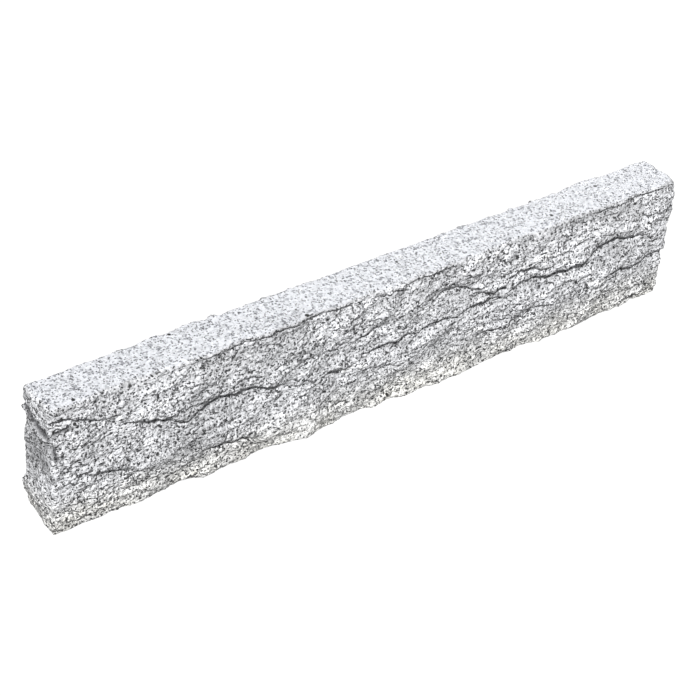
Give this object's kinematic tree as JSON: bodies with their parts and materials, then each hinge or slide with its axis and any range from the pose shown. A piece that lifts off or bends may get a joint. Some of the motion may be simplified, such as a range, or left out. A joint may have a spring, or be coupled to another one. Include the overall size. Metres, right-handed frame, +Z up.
{
  "type": "edging stone",
  "caption": "Straight granite edging stone with a flat dressed top, a flat bed and rough split sides and ends, set on edge to border paths, lawns and paving.",
  "frame": {"origin": "on the bed, at the middle of the stone's length and thickness", "axes": "+X along the stone towards the far end in the picture, -Y out of the pictured split side, +Z up out of the dressed top"},
  "size_m": [1.0114, 0.0836, 0.1877],
  "materials": {
    "granite": "split on the sides and ends, dressed on top"
  },
  "bodies": {
    "root": {"edging_stone": "granite"}
  },
  "joints": []
}
